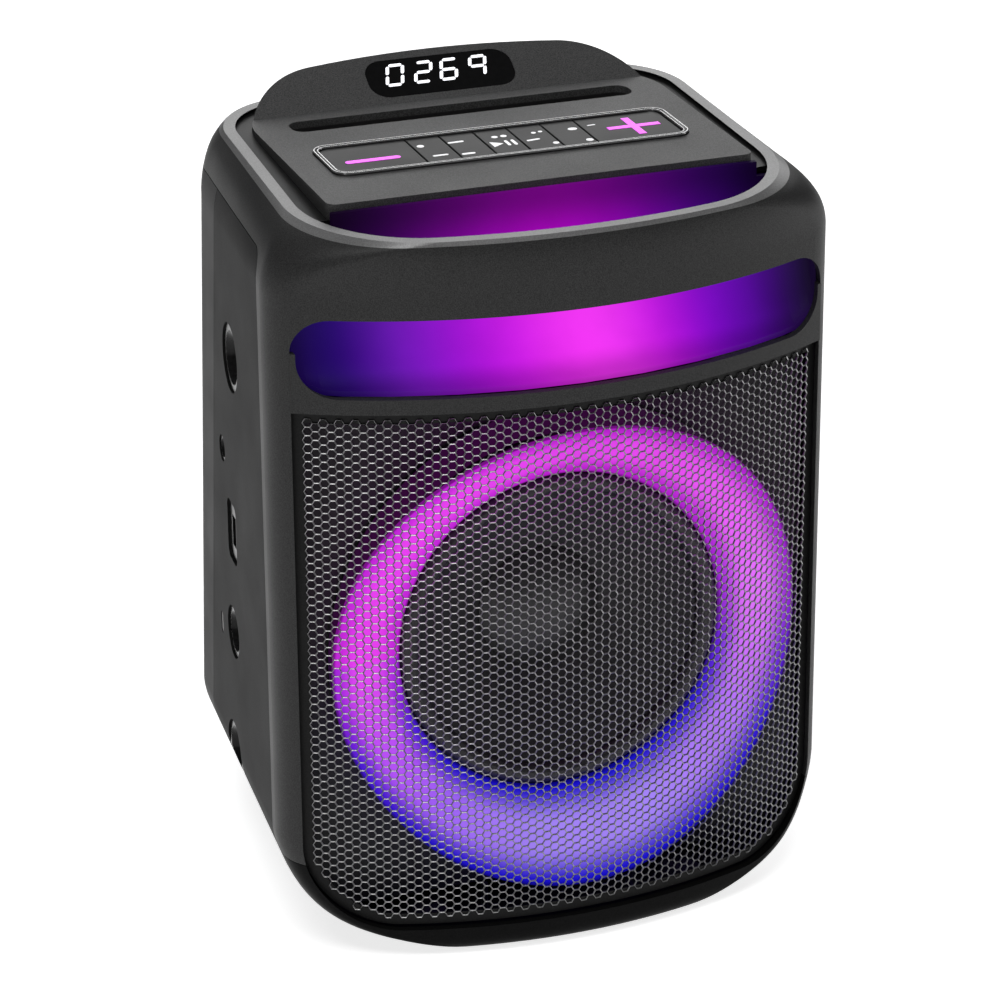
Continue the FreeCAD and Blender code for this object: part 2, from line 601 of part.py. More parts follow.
# dust cap: shallow dome seated on the cone
capr = d("cap_r")
f = (capr - d("cone_in")) / (d("cone_out") - d("cone_in"))
seat = d("cone_neck_y") + (d("cone_y") - d("cone_neck_y")) * f
dome_o, dome_i = [], []
rise = 8.0
rad = (capr ** 2 + rise ** 2) / (2 * rise)
amax = math.asin(capr / rad)
for i in range(9):
    a = amax * (1 - i / 8.0)
    dome_o.append((rad * math.sin(a), seat - 0.6 - rise + rad * (1 - math.cos(a))))
for i in range(9):
    a = amax * (1 - i / 8.0)
    q = (rad - 0.9)
    dome_i.append((q * math.sin(a), seat - 0.6 - rise + 0.9 + q * (1 - math.cos(a))))
dome_o[-1] = (0, dome_o[-1][1])
dome_i[-1] = (0, dome_i[-1][1])
revolve_body("dust_cap", dome_o + dome_i[::-1], WP)
revolve_body("voice_coil", [
    ("sheet.coil_r - sheet.coil_t", "sheet.cone_neck_y"), ("sheet.coil_r", "sheet.cone_neck_y"),
    ("sheet.coil_r", "sheet.coil_back"), ("sheet.coil_r - sheet.coil_t", "sheet.coil_back")], WP)
# corrugated spider, between the coil and the basket
sp_o, sp_i = [], []
ns = 12
for i in range(ns + 1):
    r = d("coil_r") + 0.2 + (d("spider_out") - d("coil_r") - 0.4) * i / ns
    y = d("spider_y") + (0.9 if i % 2 else -0.9)
    sp_o.append((r, y - 0.35))
    sp_i.append((r, y + 0.35))
revolve_body("spider", sp_o + sp_i[::-1], WP)
revolve_body("spider_ring", [
    ("sheet.spider_out", "sheet.plate_y - 15.0"), ("sheet.spider_out + 3.2", "sheet.plate_y - 15.0"),
    ("sheet.spider_out + 3.2", "sheet.plate_y - 2.0"), ("sheet.spider_out", "sheet.plate_y - 2.0")], WP)
revolve_body("woofer_top_plate", [
    ("sheet.plate_bore", "sheet.plate_y"), ("sheet.plate_r", "sheet.plate_y"),
    ("sheet.plate_r", "sheet.plate_y + sheet.plate_t"), ("sheet.plate_bore", "sheet.plate_y + sheet.plate_t")], WP)
revolve_body("woofer_magnet", [
    ("sheet.magnet_in", "sheet.plate_y + sheet.plate_t"), ("sheet.magnet_r", "sheet.plate_y + sheet.plate_t"),
    ("sheet.magnet_r", "sheet.plate_y + sheet.plate_t + sheet.magnet_t"),
    ("sheet.magnet_in", "sheet.plate_y + sheet.plate_t + sheet.magnet_t")], WP)
revolve_body("woofer_yoke", [
    (0, "sheet.plate_y + 0.5"), ("sheet.pole_r", "sheet.plate_y + 0.5"),
    ("sheet.pole_r", "sheet.plate_y + sheet.plate_t + sheet.magnet_t"),
    ("sheet.plate_r", "sheet.plate_y + sheet.plate_t + sheet.magnet_t"),
    ("sheet.plate_r - 2.0", "sheet.plate_y + sheet.plate_t + sheet.magnet_t + sheet.yoke_t"),
    (0, "sheet.plate_y + sheet.plate_t + sheet.magnet_t + sheet.yoke_t")], WP)
ws = []
for i in range(8):
    a = math.radians(22.5 + 45 * i)
    s = screw(12.0, 3.0, 1.8, 1.6)
    s.Placement = Placement(V(79.4 * math.cos(a), d("baffle_y") - d("flange_t") - 1.8, d("axis_z") + 79.4 * math.sin(a)),
                            Rotation(V(0, 0, 1), V(0, -1, 0)))
    ws.append(s)
feature("woofer_screws", Part.makeCompound(ws))
WS_HOLES = [Part.makeCylinder(1.8, 60, V(79.4 * math.cos(math.radians(22.5 + 45 * i)), -100,
                                         d("axis_z") + 79.4 * math.sin(math.radians(22.5 + 45 * i))), V(0, 1, 0))
            for i in range(8)]
term = block(-7, 7, -31.5, -29.5, 0, 22)
term = term.fuse(block(-5.2, -2.8, -29.5, -23.0, 12, 18)).fuse(block(2.8, 5.2, -29.5, -23.0, 12, 18))
term.translate(V(0, 0.5, d("axis_z") + 48.5))
feature("woofer_terminals", term)

# --------------------------------------------------------------- deck
def deck_outline(inset, z0, z1):
    half, yf, yr = d("deck_half") - inset, d("deck_front") + inset, d("deck_rear") - inset
    rc = d("deck_corner") - inset
    rr = d("rear_arc") - inset
    cyr = yr - rr
    cx = half - rc
    cy = cyr + math.sqrt((rr - rc) ** 2 - cx ** 2)
    a1 = math.atan2(cx, cy - cyr)
    p3 = V(rr * math.sin(a1), cyr + rr * math.cos(a1), z0)
    am = (a1 + math.pi / 2) / 2
    pm = V(cx + rc * math.sin(am), cy + rc * math.cos(am), z0)
    p2 = V(half, cy, z0)
    fr = max(4.0 - inset, 1.0)

    def mx(p):
        return V(-p.x, p.y, p.z)
    f0, f1 = V(half, yf + fr, z0), V(half - fr, yf, z0)
    fm = V(half - fr + fr * math.sin(math.pi / 4), yf + fr - fr * math.cos(math.pi / 4), z0)
    L = Part.LineSegment
    edges = [L(f0, p2).toShape(), Part.Arc(p2, pm, p3).toShape(),
             Part.Arc(p3, V(0, yr, z0), mx(p3)).toShape(), Part.Arc(mx(p3), mx(pm), mx(p2)).toShape(),
             L(mx(p2), mx(f0)).toShape(), Part.Arc(mx(f0), mx(fm), mx(f1)).toShape(),
             L(mx(f1), f1).toShape(), Part.Arc(f1, fm, f0).toShape()]
    return Part.Face(Part.Wire(edges)).extrude(V(0, 0, z1 - z0))


def deck_roof(drop):
    """Everything above the deck surface: flat, then rising to the rear."""
    z = d("deck_z") - drop
    y1 = 140.0
    return prism_x([(-140, z), (d("wedge_y"), z), (y1, z + d("wedge_rise") * (y1 - d("wedge_y"))),
                    (y1, 500), (-140, 500)])


slope = math.degrees(math.atan(d("wedge_rise")))


def on_slope(shape):
    """From flat coordinates (x, distance up the slope, height) to the wedge face."""
    shape.Placement = Placement(V(0, d("wedge_y"), d("deck_z")), Rotation(V(1, 0, 0), slope)).multiply(shape.Placement)
    return shape


cs = math.cos(math.radians(slope))
da, db = (d("disp_y0") - d("wedge_y")) / cs, (d("disp_y1") - d("wedge_y")) / cs
deck = deck_outline(0, d("deck_low"), 340).cut(deck_roof(0))
deck = deck.cut(deck_outline(d("deck_t"), d("deck_low") - 1, 340).cut(deck_roof(d("deck_t"))))
deck = deck.cut(plan_face(-d("slot_half"), d("slot_half"), d("slot_y0"), d("slot_y1"), 5.5, 290, 330))
deck = deck.cut(plan_face(-d("pad_half"), d("pad_half"), d("pad_y0"), d("pad_y1"), d("pad_rad"), 290, 330))
deck = deck.cut(on_slope(plan_face(-d("disp_half"), d("disp_half"), da, db, d("disp_rad"), -3.4, 8)))
feature("top_deck", deck)

feature("display_window", on_slope(plan_face(-d("disp_half") + 0.15, d("disp_half") - 0.15, da + 0.15, db - 0.15,
                                             d("disp_rad") - 0.15, -d("disp_t") - 0.2, -0.2)))
feature("display_module", on_slope(block(-28, 28, da + 2.5, db - 6.0, -d("disp_t") - 4.0, -d("disp_t") - 0.2)))
feature("slot_liner", plan_face(-d("slot_half") - 2.2, d("slot_half") + 2.2, d("slot_y0") - 2.2, d("slot_y1") + 2.2,
                                7.0, d("slot_low"), d("deck_z") - d("deck_t")).cut(
    plan_face(-d("slot_half"), d("slot_half"), d("slot_y0"), d("slot_y1"), 5.5, d("slot_low") + 2.0, 330)))

ring_o = plan_face(-d("pad_half") + 0.1, d("pad_half") - 0.1, d("pad_y0") + 0.1, d("pad_y1") - 0.1,
                   d("pad_rad") - 0.1, d("bezel_low"), d("bezel_high"))
w = d("bezel_w")
ring_i = plan_face(-d("pad_half") + w, d("pad_half") - w, d("pad_y0") + w, d("pad_y1") - w,
                   d("pad_rad") - w, d("bezel_low") - 1, d("bezel_high") + 1)
bez = ring_o.cut(ring_i)
bez = bez.makeChamfer(0.7, [e for e in bez.Edges if abs(e.BoundBox.ZMin - d("bezel_high")) < 1e-6
                            and e.BoundBox.ZLength < 1e-6])
feature("keypad_bezel", bez)

# keys: rounded outline of the pad cut into separate caps
g = d("key_gap")
kx, ky0, ky1 = d("pad_half") - w - g, d("pad_y0") + w + g, d("pad_y1") - w - g
cap_all = plan_face(-kx, kx, ky0, ky1, d("pad_rad") - w - g, d("key_low"), d("key_high"))
split = d("key_split")
n = int(d("key_count"))
pitch = 2 * split / n
cuts = [-kx - 1, -split] + [-split + pitch * (i + 1) for i in range(n)] + [kx + 1]
names = ["key_minus", "key_power", "key_light", "key_play", "key_mode", "key_link", "key_plus"]
KEYS = []
for i, nm in enumerate(names):
    a, b = cuts[i] + g / 2, cuts[i + 1] - g / 2
    cap = cap_all.common(block(a, b, ky0 - 1, ky1 + 1, 300, 330))
    top = [e for e in cap.Edges if e.BoundBox.ZLength < 1e-6 and abs(e.BoundBox.ZMin - d("key_high")) < 1e-6]
    cap = cap.makeChamfer(0.3, top)
    feature(nm, cap)
    KEYS.append((max(a, -kx) + min(b, kx)) / 2)
keep(prim("Box", "key_board", {"Length": "2 * (sheet.pad_half - 4)", "Width": "sheet.pad_y1 - sheet.pad_y0 - 6",
                               "Height": "sheet.board_t"},
          ("-(sheet.pad_half - 4)", "sheet.pad_y0 + 3", "sheet.key_low - 4.2")), "key_board")
sw = []
for i, x in enumerate(KEYS):
    c = prim("Cylinder", "switch_%d" % i, {"Radius": "2.6", "Height": "1.5"},
             (x, "(sheet.pad_y0 + sheet.pad_y1) / 2", "sheet.key_low - 4.2 + sheet.board_t"))
    sw.append(c)
keep(fuse("key_switches", sw), "key_switches")

# dark skirt between the deck and the rim trim
skirt = cavity.common(above_rim(3.6)).cut(above_rim(1.6)).cut(deck_outline(-0.15, 290, 340))
mouth = Part.makePolygon([V(-88.7, d("deck_front") + 1.0, 290), V(-130, d("deck_front") + 5.0, 290), V(-130, -150, 290),
                          V(130, -150, 290), V(130, d("deck_front") + 5.0, 290), V(88.7, d("deck_front") + 1.0, 290),
                          V(-88.7, d("deck_front") + 1.0, 290)])
skirt = skirt.cut(Part.Face(mouth).extrude(V(0, 0, 60)))
feature("deck_skirt", skirt)

# --------------------------------------------------------------- handle band
band = bow_slab(d("front_arc") - 2.0, YF + 2.0, d("band_t"), d("band_half"), d("open_high") + 0.5, 320)
band = band.common(cavity).cut(above_rim(3.0)).cut(skirt)
feature("handle_inner_cover", band)

# --------------------------------------------------------------- light scoop
def scoop_section(x, t0, t1):
    """Quarter-ellipse trough section at x; t0, t1 are the two skins."""
    ax = abs(x)
    fy = bow_y(ax, d("front_arc"), YF) + d("lip_t") + 0.4
    r = 14.0
    rise = 0.0
    if ax > 96.0:
        q = min((ax - 96.0) / r, 0.98)
        rise = r * (1 - math.sqrt(1 - q * q))
    back = d("scoop_back")
    zlow, ztop = d("scoop_low") + rise, d("scoop_top")
    skins = []
    for t in (t0, t1):
        pts = []
        for i in range(9):
            a = math.pi / 2 * i / 8
            pts.append(V(x, fy + (back - fy + t) * math.sin(a), ztop - (ztop - zlow + t) * math.cos(a)))
        # i = 0 is the front low edge, i = 8 the rear top edge
        skins.append(pts)
    a, b = skins
    ca, cb = Part.BSplineCurve(), Part.BSplineCurve()
    ca.interpolate(a)
    cb.interpolate(b)
    L = Part.LineSegment
    return Part.Wire([ca.toShape(), L(a[-1], b[-1]).toShape(), cb.toShape(), L(b[0], a[0]).toShape()])


xs = [-109.6, -107.5, -104, -99, -92, -75, -50, -25, 0, 25, 50, 75, 92, 99, 104, 107.5, 109.6]
# front skin faces the opening; the body lies below and behind it
scoop = Part.makeLoft([scoop_section(x, -d("scoop_t"), 0.0) for x in xs], True, True, False)
ends = []
for s in (-1, 1):
    x = s * 109.6
    fy = bow_y(109.6, d("front_arc"), YF) + d("lip_t") + 0.4
    e = block(min(x, x + s * 2.0), max(x, x + s * 2.0), fy, d("scoop_back"), d("scoop_low") + 10, d("crown_z") + 6)
    ends.append(e)
scoop = scoop.fuse(ends).removeSplitter()
scoop = scoop.common(cavity).cut(lip_piece).cut(above_rim(3.6).cut(block(-88.4, 88.4, -150, 0, 290, 400)))
feature("light_scoop", scoop)
feature("scoop_led_strip", block(-70, 70, -96.0, -88.0, 236.6, 238.2))

# --------------------------------------------------------------- boards, battery
keep(prim("Box", "battery_pack", {"Length": "2 * sheet.batt_half", "Width": "sheet.batt_y1 - sheet.batt_y0",
                                  "Height": "sheet.batt_h"},
          ("-sheet.batt_half", "sheet.batt_y0", "sheet.batt_z0 + 2.4")), "battery_pack")
tray_o = prim("Box", "tray_outer", {"Length": "2 * sheet.batt_half + 5", "Width": "sheet.batt_y1 - sheet.batt_y0 + 5",
                                    "Height": "16"},
              ("-sheet.batt_half - 2.5", "sheet.batt_y0 - 2.5", "sheet.batt_z0"))
tray_i = prim("Box", "tray_inner", {"Length": "2 * sheet.batt_half + 0.4", "Width": "sheet.batt_y1 - sheet.batt_y0 + 0.4",
                                    "Height": "30"},
              ("-sheet.batt_half - 0.2", "sheet.batt_y0 - 0.2", "sheet.batt_z0 + 2.2"))
keep(cut("battery_tray", tray_o, tray_i), "battery_tray")
mb = Part.makeBox(150, d("board_t"), 120, V(-75, 0, 0))
feature("main_board", mb, Placement(V(0, 68.0, 76.0), Rotation(V(1, 0, 0), lean)))
bs = []
for x in (-60, 60):
    for y in (-90, 92):
        s = screw(12.0)
        s.Placement = Placement(V(x * 0.55, y * 0.9, 3.0), Rotation(V(0, 0, 1), V(0, 0, -1)))
        bs.append(s)
feature("base_screws", Part.makeCompound(bs))
BASE_WELLS = []
for x in (-60, 60):
    for y in (-90, 92):
        BASE_WELLS.append(Part.makeCylinder(3.5, 5.0, V(x * 0.55, y * 0.9, -0.1)))
        BASE_WELLS.append(Part.makeCylinder(1.7, 30, V(x * 0.55, y * 0.9, -1)))

# four rubber feet under the rolled edge of the base
feet = []
for i, (sx, fy) in enumerate(((-1, "foot_y0"), (1, "foot_y0"), (-1, "foot_y1"), (1, "foot_y1"))):
    feet.append(prim("Cylinder", "foot_%d" % i, {"Radius": "sheet.foot_r", "Height": "sheet.foot_h"},
                     ("%d * sheet.foot_x" % sx, "sheet." + fy, 0)))
feet_all = fuse("feet_blank", feet)
doc.recompute()

# pieces that other pieces are let into
base = PARTS["base_tray"]
foot_shape = feet_all.Shape
b = base.Shape
for wl in BASE_WELLS:
    b = b.cut(wl)
base.Shape = b
f = foot_shape.cut(outer)
feature("rubber_feet", Part.makeCompound([s for s in f.Solids if s.Volume > 50]))
PARTS["rim_trim"].Shape = PARTS["rim_trim"].Shape.cut(deck_outline(-0.3, 290, 340))
# the lowest socket sits where the side starts to roll under
jack_blank = PARTS.pop("guitar_jack")
jack_blank.Label = "guitar_jack_turning"
feature("guitar_jack", jack_blank.Shape.common(outer))
baf = PARTS["baffle"].Shape
for h in WS_HOLES:
    baf = baf.cut(h)
PARTS["baffle"].Shape = baf

doc.recompute()
# --------------------------------------------------------------- checks
for obj in doc.Objects:
    if "Invalid" in obj.State or "Error" in obj.State:
        raise RuntimeError("failed object: " + obj.Label)
for label, obj in PARTS.items():
    shp = obj.Shape
    if shp.isNull() or not shp.isValid() or not shp.Solids:
        raise RuntimeError("bad shape: %s null %s valid %s" % (label, shp.isNull(), shp.isValid()))
total = None
for label, obj in sorted(PARTS.items()):
    shp = obj.Shape
    shp.exportStep("parts/%s.step" % label)
    bb = shp.BoundBox
    total = bb if total is None else total.united(bb)
    print("%-20s solids %d vol %9.0f  x %.1f..%.1f y %.1f..%.1f z %.1f..%.1f" % (
        label, len(shp.Solids), shp.Volume, bb.XMin, bb.XMax, bb.YMin, bb.YMax, bb.ZMin, bb.ZMax))
print("nodes", len(PARTS), "box", total)
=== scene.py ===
import bpy, bmesh, math, json, random
from mathutils import Vector, Matrix


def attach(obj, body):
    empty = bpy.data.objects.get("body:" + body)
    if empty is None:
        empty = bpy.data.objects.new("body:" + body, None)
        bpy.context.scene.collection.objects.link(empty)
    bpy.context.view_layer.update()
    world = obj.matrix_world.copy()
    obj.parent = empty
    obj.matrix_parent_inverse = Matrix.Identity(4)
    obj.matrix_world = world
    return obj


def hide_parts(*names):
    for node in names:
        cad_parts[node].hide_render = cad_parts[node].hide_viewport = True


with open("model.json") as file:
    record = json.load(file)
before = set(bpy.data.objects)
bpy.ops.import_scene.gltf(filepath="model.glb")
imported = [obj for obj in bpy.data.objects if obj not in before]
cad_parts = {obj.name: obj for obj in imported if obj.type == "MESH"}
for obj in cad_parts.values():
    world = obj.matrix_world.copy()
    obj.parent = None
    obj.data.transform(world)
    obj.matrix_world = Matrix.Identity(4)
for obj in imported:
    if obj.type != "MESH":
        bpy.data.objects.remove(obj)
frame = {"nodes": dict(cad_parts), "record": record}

for stray in ("Cube", "Light", "Camera"):
    if stray in bpy.data.objects:
        bpy.data.objects.remove(bpy.data.objects[stray], do_unlink=True)
bpy.context.view_layer.update()
N = frame["nodes"]
MM = 0.001
random.seed(7)
scene = bpy.context.scene
coll = scene.collection

# ------------------------------------------------------------------ camera
AZ, EL = math.radians(-20.82), math.radians(23.11)
back = Vector((math.sin(AZ) * math.cos(EL), -math.cos(AZ) * math.cos(EL), math.sin(EL)))
aim = Vector((0, -0.0806, 0.1885))
cam = bpy.data.cameras.new("Camera")
cam_ob = bpy.data.objects.new("Camera", cam)
coll.objects.link(cam_ob)
loc = aim + back * 1.6263
xc = Vector((math.cos(AZ), math.sin(AZ), 0))
yc = back.cross(xc)
cam_ob.matrix_world = Matrix(((xc.x, yc.x, back.x, loc.x), (xc.y, yc.y, back.y, loc.y),
                              (xc.z, yc.z, back.z, loc.z), (0, 0, 0, 1)))
cam.lens, cam.sensor_width = 148.17, 36.0
cam.shift_x, cam.shift_y = -0.06335, -0.00775
cam.clip_end = 30.0
scene.camera = cam_ob
scene.view_settings.view_transform = "Standard"


# --------------------------------------------------------------- materials
def new_mat(name):
    m = bpy.data.materials.new(name)
    m.use_nodes = True
    nt = m.node_tree
    return m, nt, nt.nodes["Principled BSDF"]


def grain(nt, scale, detail=3.0, rough=0.55):
    tc = nt.nodes.new("ShaderNodeTexCoord")
    n = nt.nodes.new("ShaderNodeTexNoise")
    n.inputs["Scale"].default_value = scale
    n.inputs["Detail"].default_value = detail
    n.inputs["Roughness"].default_value = rough
    nt.links.new(tc.outputs["Object"], n.inputs["Vector"])
    return n


def ramp(nt, src, stops):
    r = nt.nodes.new("ShaderNodeValToRGB")
    el = r.color_ramp.elements
    while len(el) > 1:
        el.remove(el[-1])
    el[0].position, el[0].color = stops[0][0], stops[0][1]
    for p, c in stops[1:]:
        e = el.new(p)
        e.color = c
    nt.links.new(src, r.inputs["Fac"])
    return r


def g(v, a=1.0):
    return (v[0], v[1], v[2], a) if hasattr(v, "__len__") else (v, v, v, a)


def moulded(name, dark, light, rough=0.5, grain_scale=2600, bump=0.25, height=0.00012,
            metallic=0.0, coat=0.0, spec=0.5, spread=(0.36, 0.64), wear=0.0, tint=30):
    """Moulded or painted surface: two-tone fine grain, broad patches, grain bump."""
    m, nt, p = new_mat(name)
    fine = grain(nt, grain_scale, 2.0, 0.6)
    r = ramp(nt, fine.outputs["Fac"], [(spread[0], g(dark)), (spread[1], g(light))])
    wide = grain(nt, tint, 2.0, 0.5)
    mix = nt.nodes.new("ShaderNodeMix")
    mix.data_type, mix.blend_type = "RGBA", "MULTIPLY"
    mix.inputs[0].default_value = 0.35
    rw = ramp(nt, wide.outputs["Fac"], [(0.3, g(0.75)), (0.7, g(1.0))])
    nt.links.new(r.outputs["Color"], mix.inputs[6])
    nt.links.new(rw.outputs["Color"], mix.inputs[7])
    nt.links.new(mix.outputs[2], p.inputs["Base Color"])
    rr = nt.nodes.new("ShaderNodeMapRange")
    rr.inputs["To Min"].default_value = max(rough - 0.06, 0.02)
    rr.inputs["To Max"].default_value = min(rough + 0.08, 1.0)
    nt.links.new(wide.outputs["Fac"], rr.inputs["Value"])
    nt.links.new(rr.outputs["Result"], p.inputs["Roughness"])
    if bump:
        b = nt.nodes.new("ShaderNodeBump")
        b.inputs["Strength"].default_value = bump
        b.inputs["Distance"].default_value = height
        nt.links.new(fine.outputs["Fac"], b.inputs["Height"])
        nt.links.new(b.outputs["Normal"], p.inputs["Normal"])
    p.inputs["Metallic"].default_value = metallic
    p.inputs["Coat Weight"].default_value = coat
    p.inputs["Coat Roughness"].default_value = 0.12
    p.inputs["Specular IOR Level"].default_value = spec
    return m


def mth(nt, op, a, b=None, clamp=False):
    n = nt.nodes.new("ShaderNodeMath")
    n.operation, n.use_clamp = op, clamp
    for i, v in enumerate((a, b)):
        if v is None:
            continue
        if isinstance(v, (int, float)):
            n.inputs[i].default_value = v
        else:
            nt.links.new(v, n.inputs[i])
    return n.outputs[0]


def axes(nt):
    tc = nt.nodes.new("ShaderNodeTexCoord")
    sp = nt.nodes.new("ShaderNodeSeparateXYZ")
    nt.links.new(tc.outputs["Object"], sp.inputs[0])
    return sp.outputs


def span(nt, v, a, b, smooth=True):
    n = nt.nodes.new("ShaderNodeMapRange")
    n.interpolation_type = "SMOOTHSTEP" if smooth else "LINEAR"
    n.inputs["From Min"].default_value = a
    n.inputs["From Max"].default_value = b
    nt.links.new(v, n.inputs["Value"])
    return n.outputs["Result"]


def blend(nt, f, a, b, kind="MIX"):
    n = nt.nodes.new("ShaderNodeMix")
    n.data_type, n.blend_type = "RGBA", kind
    if isinstance(f, (int, float)):
        n.inputs[0].default_value = f
    else:
        nt.links.new(f, n.inputs[0])
    for i, v in ((6, a), (7, b)):
        if hasattr(v, "__len__"):
            n.inputs[i].default_value = v
        else:
            nt.links.new(v, n.inputs[i])
    return n.outputs[2]


def srgb(c):
    out = []
    for v in c:
        v = v / 255.0
        out.append(v / 12.92 if v <= 0.04045 else ((v + 0.055) / 1.055) ** 2.4)
    return out


def lit(name, build, strength, base, rough):
    m, nt, p = new_mat(name)
    colour = build(nt)
    cloud = grain(nt, 60, 2.0, 0.5)
    rw = ramp(nt, cloud.outputs["Fac"], [(0.3, g(0.93)), (0.7, g(1.0))])
    nt.links.new(blend(nt, 1.0, colour, rw.outputs["Color"], "MULTIPLY"), p.inputs["Emission Color"])
    p.inputs["Emission Strength"].default_value = strength
    p.inputs["Base Color"].default_value = g(base)
    p.inputs["Roughness"].default_value = rough
    p.inputs["Specular IOR Level"].default_value = 0.10
    return m


def scoop_colour(nt):
    ax = axes(nt)
    fx = mth(nt, "DIVIDE", mth(nt, "ADD", ax[0], 0.112), 0.224)
    low = ramp(nt, fx, [((a + 112) / 224, g(srgb(c))) for a, c in LOW])
    top = ramp(nt, fx, [((a + 112) / 224, g(srgb(c))) for a, c in TOPC])
    low.color_ramp.interpolation = top.color_ramp.interpolation = "B_SPLINE"
    z = ax[2]
    c = blend(nt, span(nt, z, 0.268, 0.290), low.outputs[0], top.outputs[0])
    fade = mth(nt, "MULTIPLY", mth(nt, "SUBTRACT", 1.0, mth(nt, "MULTIPLY", span(nt, z, 0.286, 0.309), 0.62)),
               mth(nt, "ADD", 0.5, mth(nt, "MULTIPLY", span(nt, z, 0.244, 0.252), 0.5)))
    return blend(nt, 1.0, c, fade, "MULTIPLY")


def ring_colour(nt):
    ax = axes(nt)
    def dist(cx, cz):
        dx, dz = mth(nt, "SUBTRACT", ax[0], cx), mth(nt, "SUBTRACT", ax[2], cz)
        return mth(nt, "SQRT", mth(nt, "ADD", mth(nt, "MULTIPLY", dx, dx), mth(nt, "MULTIPLY", dz, dz)))
    dz = mth(nt, "SUBTRACT", ax[2], 0.127)
    into = mth(nt, "SUBTRACT", dist(IX * 0.001, IZ * 0.001), RI * 0.001)
    left_ = mth(nt, "SUBTRACT", RO * 0.001, dist(OX * 0.001, OZ * 0.001))
    ang = mth(nt, "ARCTAN2", dz, ax[0])
    f = mth(nt, "DIVIDE", mth(nt, "ADD", ang, math.pi), 2 * math.pi)
    roll = lambda st: sorted([(((a + 180) % 360) / 360.0, g(srgb(c))) for a, c in st if a < 360])
    core = ramp(nt, f, roll(CORE))
    edge = ramp(nt, f, roll(EDGE))
    t = mth(nt, "DIVIDE", into, mth(nt, "ADD", into, left_))
    off = mth(nt, "ABSOLUTE", mth(nt, "SUBTRACT", t, 0.5))
    m = span(nt, off, 0.47, 0.10)
    c = blend(nt, m, edge.outputs[0], core.outputs[0])
    fade = mth(nt, "ADD", 0.35, mth(nt, "MULTIPLY", span(nt, off, 0.5, 0.45), 0.65))
    return blend(nt, 1.0, c, fade, "MULTIPLY")


RI, RO = 68.8, 99.8
IX, IZ = 0.0, 127.0
OX, OZ = 2.4, 123.7
CORE = [(0, (222, 112, 250)), (30, (230, 92, 244)), (60, (226, 72, 234)), (90, (222, 66, 232)), (140, (228, 62, 236)),
        (185, (220, 70, 238)), (205, (184, 76, 240)), (228, (156, 92, 240)), (260, (158, 128, 240)),
        (295, (160, 128, 242)), (330, (176, 112, 244)), (348, (204, 108, 246))]
EDGE = [(0, (140, 36, 205)), (30, (170, 30, 205)), (60, (172, 28, 196)), (90, (180, 30, 200)), (140, (190, 34, 212)),
        (185, (160, 34, 214)), (205, (70, 22, 205)), (228, (26, 12, 190)), (260, (14, 8, 190)),
        (295, (16, 10, 196)), (330, (40, 18, 200)), (348, (96, 28, 204))]
LOW = [(-112, (6, 2, 22)), (-100, (26, 4, 84)), (-84, (40, 4, 118)), (-66, (108, 26, 186)), (-44, (150, 12, 208)),
       (-20, (206, 24, 232)), (0, (244, 50, 246)), (18, (246, 56, 248)), (36, (206, 24, 232)), (52, (150, 10, 208)),
       (66, (118, 4, 196)), (82, (80, 4, 150)), (94, (50, 4, 100)), (104, (30, 14, 60)), (112, (10, 6, 18))]
TOPC = [(-112, (3, 2, 6)), (-86, (14, 0, 26)), (-60, (66, 0, 100)), (-30, (136, 0, 164)), (0, (180, 0, 198)),
        (24, (154, 0, 184)), (50, (88, 0, 146)), (74, (42, 0, 92)), (92, (14, 0, 28)), (112, (4, 2, 8))]


def ink(name, colour, strength):
    """Printed or lit mark."""
    m, nt, p = new_mat(name)
    n = grain(nt, 900, 2.0, 0.5)
    r = ramp(nt, n.outputs["Fac"], [(0.35, g([c * 0.86 for c in colour])), (0.6, g(colour))])
    nt.links.new(r.outputs["Color"], p.inputs["Base Color"])
    nt.links.new(r.outputs["Color"], p.inputs["Emission Color"])
    p.inputs["Emission Strength"].default_value = strength
    p.inputs["Roughness"].default_value = 0.4
    return m


M = {}
M["shell_grey"] = moulded("shell_grey", 0.015, 0.038, 0.46, 2400, 0.35, 0.00010, spec=0.18)
M["panel_dark"] = moulded("panel_dark", 0.006, 0.013, 0.50, 2600, 0.30, 0.00010, spec=0.03)
M["deck_grey"] = moulded("deck_grey", 0.032, 0.084, 0.50, 2100, 0.45, 0.00012, spec=0.35)
M["base_gloss"] = moulded("base_gloss", 0.0035, 0.0065, 0.34, 1500, 0.12, 0.00006, spec=0.03)
M["rear_gloss"] = moulded("rear_gloss", 0.005, 0.009, 0.38, 900, 0.05, 0.00004, coat=0.0, spec=0.02)
M["trim_grey"] = moulded("trim_grey", 0.15, 0.21, 0.36, 1800, 0.2, 0.00006, metallic=0.35)
M["skirt_black"] = moulded("skirt_black", 0.004, 0.009, 0.42, 2400, 0.3, 0.0001, spec=0.14)
M["inner_black"] = moulded("inner_black", 0.006, 0.012, 0.55, 1800, 0.25, 0.0001)
M["socket_black"] = moulded("socket_black", 0.006, 0.010, 0.18, 700, 0.05, 0.00003, coat=0.02, spec=0.12)
M["port_black"] = moulded("port_black", 0.006, 0.011, 0.30, 900, 0.08, 0.00005)
M["grille_steel"] = moulded("grille_steel", 0.30, 0.46, 0.30, 1500, 0.15, 0.00004, metallic=0.85)
M["grille_edge"] = moulded("grille_edge", 0.004, 0.008, 0.5, 1500, 0.2, 0.00006, spec=0.15)
M["bezel_silver"] = moulded("bezel_silver", 0.40, 0.55, 0.20, 900, 0.1, 0.00003, metallic=0.9)
M["key_dark"] = moulded("key_dark", 0.009, 0.015, 0.36, 2600, 0.12, 0.00004, spec=0.08)
M["display_black"] = moulded("display_black", 0.0025, 0.004, 0.08, 400, 0.0, 0.0, coat=0.35, spec=0.25)
